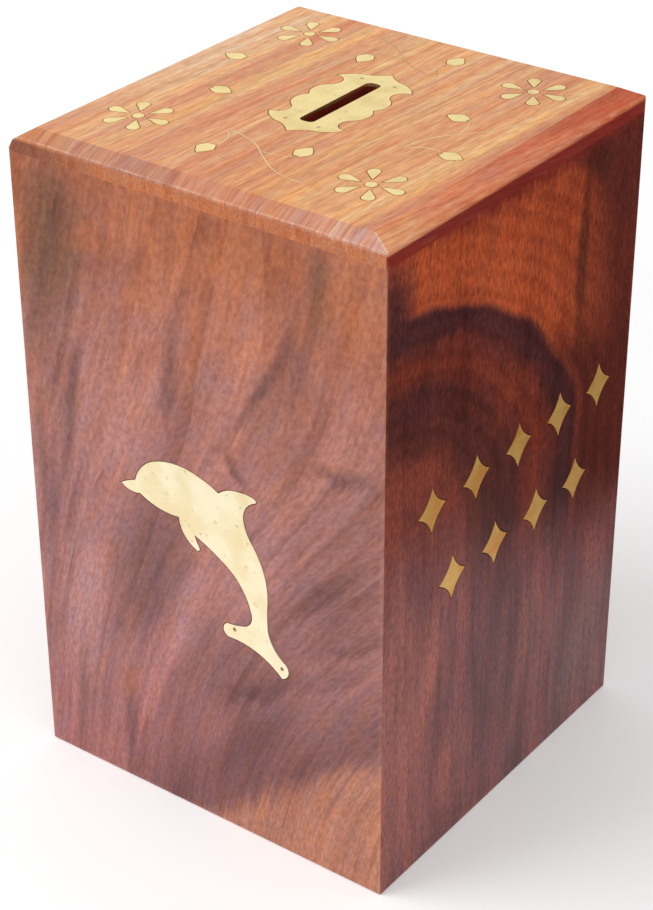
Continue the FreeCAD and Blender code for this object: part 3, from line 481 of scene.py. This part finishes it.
def addBorder(tree, colour, spot, axes):
    look = topBorder
    x, y, z = axes
    crease, mitreSoft = look["crease"] * mm, look["mitreSoft"] * mm
    pastFront = minus(tree, look["frontBevel"] * mm - halfDeep, y)
    pastRight = minus(tree, x, halfWide - look["rightBevel"] * mm)
    inFront, inRight = (remap(tree, past, 0.0, crease) for past in (pastFront, pastRight))
    fromMitre = minus(tree, calc(tree, "DIVIDE", pastFront, look["frontBevel"]),
                      calc(tree, "DIVIDE", pastRight, look["rightBevel"]))
    onFront = times(tree, inFront, remap(tree, fromMitre, 0.0, mitreSoft))
    onRight = times(tree, inRight, remap(tree, fromMitre, 0.0, -mitreSoft))
    # painted sheen and highlight: each bevel is tinted for how it catches the light, over the grain
    for name, axis, half, mask in (("frontFacetSheen", x, halfWide, onFront),
                                   ("rightFacetSheen", y, halfDeep, onRight)):
        share = plus(tree, calc(tree, "DIVIDE", axis, 2 * half), 0.5)
        facetSheen = ramp(tree, plus(tree, share, sway(tree, spot, look["facetSway"])), look[name])
        colour = mixColour(tree, times(tree, mask, look["sheenTinted"]), colour, facetSheen)
    # the board's edge, dark at the left, warm from there on and red round the right corner
    warmth = remap(tree, plus(tree, x, sway(tree, spot, look["stripSway"])),
                   look["darkTo"] * mm, look["warmFrom"] * mm)
    edge = mixColour(tree, warmth, linearColour(look["dark"]), linearColour(look["warm"]))
    atRight = remap(tree, x, halfWide - look["redFrom"] * mm, halfWide - look["redFull"] * mm)
    edges = mixColour(tree, atRight, edge, linearColour(look["red"]))
    stripTop = boxHigh - look["stripFrom"] * mm
    strip = remap(tree, z, stripTop, stripTop - look["stripSoft"] * mm)
    colour = mixColour(tree, strip, colour, edges)
    # worn pale along the lower arris of the bevels and along their mitre, partly a painted highlight where
    # the edges catch the light
    fromArris = calc(tree, "ABSOLUTE", minus(tree, z, boxHigh - look["bevelRise"] * mm))
    rubbedHighlight = times(tree, patches(tree, spot, look["rubbedHighlight"]), look["highlightArris"])
    onArris = times(tree, remap(tree, fromArris, look["highlightWide"] * mm, 0.0), rubbedHighlight)
    nearMitre = remap(tree, calc(tree, "ABSOLUTE", fromMitre), look["mitreWide"] * mm,
                      look["mitreCore"] * mm)
    onMitre = times(tree, times(tree, nearMitre, times(tree, inRight, inFront)),
                    remap(tree, z, stripTop, stripTop + crease))
    # painted highlight: the pale line on the arris and on the mitre
    wornHighlight = times(tree, calc(tree, "MAXIMUM", onArris, onMitre), look["highlightPale"])
    return mixColour(tree, wornHighlight, colour, linearColour(look["wornHighlight"]))


def darkenSlot(tree, colour, x, y):
    look = coinSlot
    besideSlot = minus(tree, calc(tree, "ABSOLUTE", x), look["halfWide"] * mm)
    fromMid = calc(tree, "ABSOLUTE", minus(tree, y, look["midY"] * mm))
    pastSlot = minus(tree, fromMid, look["halfLong"] * mm)
    inSlot = remap(tree, calc(tree, "MAXIMUM", besideSlot, pastSlot),
                   look["slotDarkFrom"] * mm, look["slotDarkFull"] * mm)
    return mixColour(tree, inSlot, colour, linearColour(look["darkTone"]))


def makeTopWood():
    look = topBoard
    material, tree, sockets = newMaterial("topWood", lacquer)
    spot, x, y, z = objectAxes(tree)
    drift = sway(tree, spot, look["drift"])
    across = plus(tree, minus(tree, x, times(tree, y, look["lean"])), drift)
    underBevel = calc(tree, "MINIMUM", minus(tree, z, boxHigh - topBorder["bevelRise"] * mm), 0.0)
    along = plus(tree, times(tree, y, look["draw"]), times(tree, underBevel, look["endGrain"]))
    grain = placeGroup(tree, grainGroup, Across=across, Along=along, Seed=look["seed"])
    streaky = addStreaks(tree, grain, linearColour(look["tan"]), look)
    ragged = plus(tree, y, feathered(tree, grain, look))
    figured = addMarks(tree, streaky, plus(tree, x, drift), ragged, look)
    bordered = addBorder(tree, figured, spot, (x, y, z))
    finishBoard(tree, sockets, (x, y, z), grain, darkenSlot(tree, bordered, x, y), look)
    return material


# Plain boards: left, back, base and door, cut from the same timber.
plainBoard = {
    "drift": dict(scale=6, reach=0.010, detail=2), "mauve": (186, 132, 120), "warm": (202, 132, 98),
    "heart": dict(scale=18, detail=3, roughness=0.5, low=0.38, high=0.66), "heartStretch": 0.25,
    "streak": (128, 82, 78), "streakDark": 0.60,
    "line": (150, 104, 92), "cloudDark": 0.20, "ringDark": 0.45, "lineDark": 0.18, "fibreDark": 0.38,
    "pore": (84, 48, 42), "poreDark": 0.28,
    "wearHighlight": (206, 150, 118), "wearHighlightReach": 2.5, "wearHighlightPale": 0.35, "glossy": 0.34, "matt": 0.46,
}
# Axes 0, 1 and 2 are x, y and z.
plainCuts = {
    "left_wall": dict(name="leftWood", seed=17.0, acrossAxis=1, alongAxis=2, lean=0.10),
    "back_wall": dict(name="backWood", seed=23.0, acrossAxis=0, alongAxis=2, lean=-0.08),
    "base_board": dict(name="baseWood", seed=29.0, acrossAxis=0, alongAxis=1, lean=0.05),
    "base_door": dict(name="doorWood", seed=31.0, acrossAxis=0, alongAxis=1, lean=0.05),
}


def makePlainWood(name, seed, acrossAxis, alongAxis, lean):
    look = plainBoard
    material, tree, sockets = newMaterial(name, lacquer)
    spot, *axes = objectAxes(tree)
    along = axes[alongAxis]
    leaned = minus(tree, axes[acrossAxis], times(tree, along, lean))
    across = plus(tree, leaned, sway(tree, spot, look["drift"]))
    grain = placeGroup(tree, grainGroup, Across=across, Along=along, Seed=seed)
    drawn = joinAxes(tree, across, seed, times(tree, along, look["heartStretch"]))
    ground = mixColour(tree, patches(tree, drawn, look["heart"]), linearColour(look["mauve"]),
                       linearColour(look["warm"]))
    finishBoard(tree, sockets, axes, grain, addStreaks(tree, grain, ground, look), look)
    return material


# Brass wear shared by every brass piece: cloudy tarnish, dark specks and straight sanding scratches.
brassWear = {
    "clouds": dict(scale=75, detail=3, roughness=0.5, low=0.40, high=0.70), "dulled": 0.6,
    "specks": dict(scale=420, detail=2, roughness=0.5, low=0.66, high=0.74), "specked": 0.3,
    "scratchStretch": 0.05, "bumpStrength": 0.05, "bumpDeep": 0.1,
    "low": 0.3, "high": 0.7, "glossy": 0.28, "matt": 0.46,
}


def makeTarnishGroup():
    look = brassWear
    tree, given, out = newGroup("brassTarnish", ("X", "Y", "Z", "Scratch"), ("Clouds", "Specks", "Scratches"))
    spot = joinAxes(tree, given["X"], given["Y"], given["Z"])
    feed(tree, out["Clouds"], patches(tree, spot, look["clouds"]))
    feed(tree, out["Specks"], patches(tree, spot, look["specks"]))
    sanded = joinAxes(tree, plus(tree, given["X"], given["Z"]),
                      times(tree, given["Y"], look["scratchStretch"]), 0.0)
    feed(tree, out["Scratches"], noise(tree, sanded, given["Scratch"]))
    return tree


tarnishGroup = makeTarnishGroup()
# painted light: the front, top and side brass are one brass, each coloured for how it catches the light on
# its face, paler on the front, orange and less metallic on the side
frontBrass = {"bright": (255, 242, 206), "dull": (240, 216, 158), "darkTone": (140, 112, 64),
              "scratch": 900, "metallic": 0.75}
topBrass = {"bright": (248, 226, 160), "dull": (230, 200, 128), "darkTone": (140, 110, 58),
            "scratch": 900, "metallic": 1.0}
sideBrass = {"bright": (255, 200, 112), "dull": (240, 146, 56), "darkTone": (120, 74, 32),
             "scratch": 800, "metallic": 0.55}
wireBrass = {"bright": (255, 230, 176), "dull": (226, 184, 126), "darkTone": (110, 74, 46),
             "scratch": 800, "metallic": 1.0}
# a darker, more orange brass for the left and back vines
dullerWire = {"bright": (236, 188, 132), "dull": (208, 152, 100), "darkTone": (110, 74, 46),
              "scratch": 800, "metallic": 1.0}
pinBrass = {"bright": (214, 186, 124), "dull": (176, 146, 88), "darkTone": (80, 64, 40),
            "scratch": 800, "metallic": 1.0}
hingeBrass = {"bright": (226, 190, 116), "dull": (188, 148, 82), "darkTone": (96, 70, 38),
              "scratch": 700, "metallic": 1.0}


# Roughness from a noise: glossy where it is low and matt where it is high.
def sheen(tree, source, look):
    return remap(tree, source, look["low"], look["high"], look["glossy"], look["matt"])


def makeBrass(name, look):
    material, tree, sockets = newMaterial(name, {"Metallic": look["metallic"]})
    x, y, z = objectAxes(tree)[1:]
    tarnish = placeGroup(tree, tarnishGroup, X=x, Y=y, Z=z, Scratch=look["scratch"])
    body = mixColour(tree, times(tree, tarnish["Clouds"], brassWear["dulled"]), linearColour(look["bright"]),
                     linearColour(look["dull"]))
    specked = mixColour(tree, times(tree, tarnish["Specks"], brassWear["specked"]), body,
                        linearColour(look["darkTone"]))
    feed(tree, sockets["Base Color"], specked)
    feed(tree, sockets["Roughness"], sheen(tree, tarnish["Scratches"], brassWear))
    feed(tree, sockets["Normal"], bumpFrom(tree, tarnish["Scratches"], brassWear["bumpStrength"],
                                           brassWear["bumpDeep"] * mm))
    return material


# Dolphin pins: dark at the flukes, and bright along the body.
dolphinPin = {"dark": (150, 128, 84), "bright": (246, 226, 176), "darkTo": 92, "brightFrom": 98,
              "scale": 900, "low": 0.3, "high": 0.7, "glossy": 0.3, "matt": 0.5, "metallic": 1.0}


def makeDolphinPins():
    look = dolphinPin
    material, tree, sockets = newMaterial("dolphinPinBrass", {"Metallic": look["metallic"]})
    spot, *axes = objectAxes(tree)
    brightAbove = remap(tree, axes[2], look["darkTo"] * mm, look["brightFrom"] * mm)
    feed(tree, sockets["Base Color"], mixColour(tree, brightAbove, linearColour(look["dark"]),
                                                linearColour(look["bright"])))
    feed(tree, sockets["Roughness"], sheen(tree, noise(tree, spot, look["scale"]), look))
    return material


lockPlating = {"bright": (196, 196, 198), "dull": (150, 150, 154), "scale": 160, "detail": 3,
               "low": 0.3, "high": 0.7, "glossy": 0.22, "matt": 0.4, "metallic": 1.0}


def makeSteel():
    look = lockPlating
    material, tree, sockets = newMaterial("lockSteel", {"Metallic": look["metallic"]})
    clouds = noise(tree, objectAxes(tree)[0], look["scale"], look["detail"])
    feed(tree, sockets["Base Color"], mixColour(tree, clouds, linearColour(look["bright"]),
                                                linearColour(look["dull"])))
    feed(tree, sockets["Roughness"], sheen(tree, clouds, look))
    return material


def dress(material, *names):
    for name in names:
        slots = nodes[name].data.materials
        slots.clear()
        slots.append(material)


def namesStarting(*starts):
    return [name for name in nodes if name.startswith(starts)]


dress(makeFrontWood(), "front_wall")
dress(makeRightWood(), "right_wall")
dress(makeTopWood(), "top_board")
for board, cut in plainCuts.items():
    dress(makePlainWood(**cut), board)
print("wood set")

dress(makeBrass("frontBrass", frontBrass), "dolphin")
dress(makeBrass("topBrass", topBrass), "slot_plate", *namesStarting("flower_", "buds_"))
dress(makeBrass("sideBrass", sideBrass), "upper_lozenges", "lower_lozenges")
dress(makeBrass("wireBrass", wireBrass), "vine_front", "vine_right")
dress(makeBrass("dullerWire", dullerWire), "vine_back", "vine_left")
dress(makeBrass("pinBrass", pinBrass), "slot_plate_pins")
dress(makeDolphinPins(), "dolphin_pins")
dress(makeBrass("hingeBrass", hingeBrass), *namesStarting("front_hinge", "rear_hinge", "hinge_"))
dress(makeSteel(), *namesStarting("lock_", "cam_"))
print("brass and steel set")


# Studio: soft light from the upper left, a weaker one from the right, and a pale floor.
# What shines sees white paper round the box, and a dimmer room past its edge behind the right side.
studio = {
    "white": (1, 1, 1, 1), "floorSize": 6.0, "floorColour": (0.92, 0.92, 0.92, 1), "floorLift": 0.18,
    "paperRough": 0.9, "paperShine": 0.1, "farFrom": 0.4, "farTo": 2.2, "farLift": 0.9,
    "paperMid": (-0.10, -0.12), "paperReach": 0.36, "paperSoft": 0.06, "roomColour": (0.06, 0.06, 0.06, 1),
    "roomTowards": (0.595, 0.804, 0.0), "roomFrom": 0.25, "roomTo": 0.75, "roomLevel": 0.08,
    "worldStrength": 0.6, "keyPower": 17.0, "keySize": 1.2, "keyAt": (-0.9, -0.9, 1.5),
    "fillPower": 4.0, "fillSize": 1.4, "fillAt": (1.4, -0.5, 0.8), "aimHigh": 0.12,
}


def addSoftbox(name, at, size, power):
    lamp = bpy.data.lights.new(name, "AREA")
    lamp.size = size
    lamp.energy = power
    holder = bpy.data.objects.new(name, lamp)
    bpy.context.scene.collection.objects.link(holder)
    holder.location = at
    aim = Vector((0, 0, studio["aimHigh"])) - Vector(at)
    holder.rotation_euler = aim.to_track_quat("-Z", "Y").to_euler()


# Rays that see the plain white stage, and rays that are mirrored in what shines.
def rayKinds(tree):
    rays = addNode(tree, "ShaderNodeLightPath").outputs
    plain = calc(tree, "MAXIMUM", rays["Is Camera Ray"], rays["Is Transmission Ray"])
    return plain, rays["Is Glossy Ray"]


def makeFloor():
    bpy.ops.mesh.primitive_plane_add(size=studio["floorSize"], location=(0, 0, 0))
    floor = bpy.context.active_object
    floor.name = "studioFloor"
    material, tree, sockets = newMaterial("floorPaper", {
        "Roughness": studio["paperRough"], "Specular IOR Level": studio["paperShine"],
        "Emission Color": studio["white"]})
    axes = objectAxes(tree)[1:]
    squares = (calc(tree, "POWER", minus(tree, axis, middle), 2.0)
               for axis, middle in zip(axes, studio["paperMid"]))
    away = calc(tree, "SQRT", plus(tree, *squares))
    room = remap(tree, away, studio["paperReach"] - studio["paperSoft"],
                 studio["paperReach"] + studio["paperSoft"])
    plain, glossy = rayKinds(tree)
    mirrored = times(tree, glossy, room)
    feed(tree, sockets["Base Color"], mixColour(tree, mirrored, studio["floorColour"], studio["roomColour"]))
    lifted = minus(tree, calc(tree, "MAXIMUM", plain, glossy), mirrored)
    far = remap(tree, away, studio["farFrom"], studio["farTo"], studio["floorLift"], studio["farLift"])
    feed(tree, sockets["Emission Strength"], times(tree, lifted, far))
    floor.data.materials.append(material)


def makeWorld():
    world = bpy.data.worlds.new("studioWorld")
    world.use_nodes = True
    bpy.context.scene.world = world
    tree = world.node_tree
    backing = tree.nodes["Background"]
    backing.inputs["Color"].default_value = studio["white"]
    towards = addNode(tree, "ShaderNodeVectorMath", operation="DOT_PRODUCT")
    tree.links.new(addNode(tree, "ShaderNodeTexCoord").outputs["Generated"], towards.inputs[0])
    towards.inputs[1].default_value = studio["roomTowards"]
    mirrored = remap(tree, towards.outputs["Value"], studio["roomFrom"], studio["roomTo"],
                     1.0, studio["roomLevel"])
    plain, glossy = rayKinds(tree)
    seen = calc(tree, "MAXIMUM", plain, times(tree, glossy, mirrored))
    lighting = minus(tree, 1.0, calc(tree, "MAXIMUM", plain, glossy))
    strength = plus(tree, seen, times(tree, lighting, studio["worldStrength"]))
    feed(tree, backing.inputs["Strength"], strength)


makeFloor()
makeWorld()
addSoftbox("keyLight", studio["keyAt"], studio["keySize"], studio["keyPower"])
addSoftbox("fillLight", studio["fillAt"], studio["fillSize"], studio["fillPower"])
print("studio set")


# Camera, solved from the edges of the box in the photograph.
shot = {"azimuth": 36.498, "elevation": 30.671, "roll": -0.166, "lens": 91.48, "sensor": 36,
        "at": (0.4336, -0.5900, 0.5513)}


def makeCamera():
    turn, rise, roll = (math.radians(shot[key]) for key in ("azimuth", "elevation", "roll"))
    back = Vector((math.sin(turn) * math.cos(rise), -math.cos(turn) * math.cos(rise), math.sin(rise)))
    right = Vector((0, 0, 1)).cross(back).normalized()
    up = back.cross(right)
    right, up = right * math.cos(roll) + up * math.sin(roll), up * math.cos(roll) - right * math.sin(roll)
    lens = bpy.data.cameras.new("photoCamera")
    lens.lens = shot["lens"]
    lens.sensor_width = shot["sensor"]
    holder = bpy.data.objects.new("photoCamera", lens)
    bpy.context.scene.collection.objects.link(holder)
    holder.matrix_world = Matrix.Translation(shot["at"]) @ Matrix((right, up, back)).transposed().to_4x4()
    bpy.context.scene.camera = holder


makeCamera()
bpy.context.scene.view_settings.view_transform = "Standard"
print("camera set")
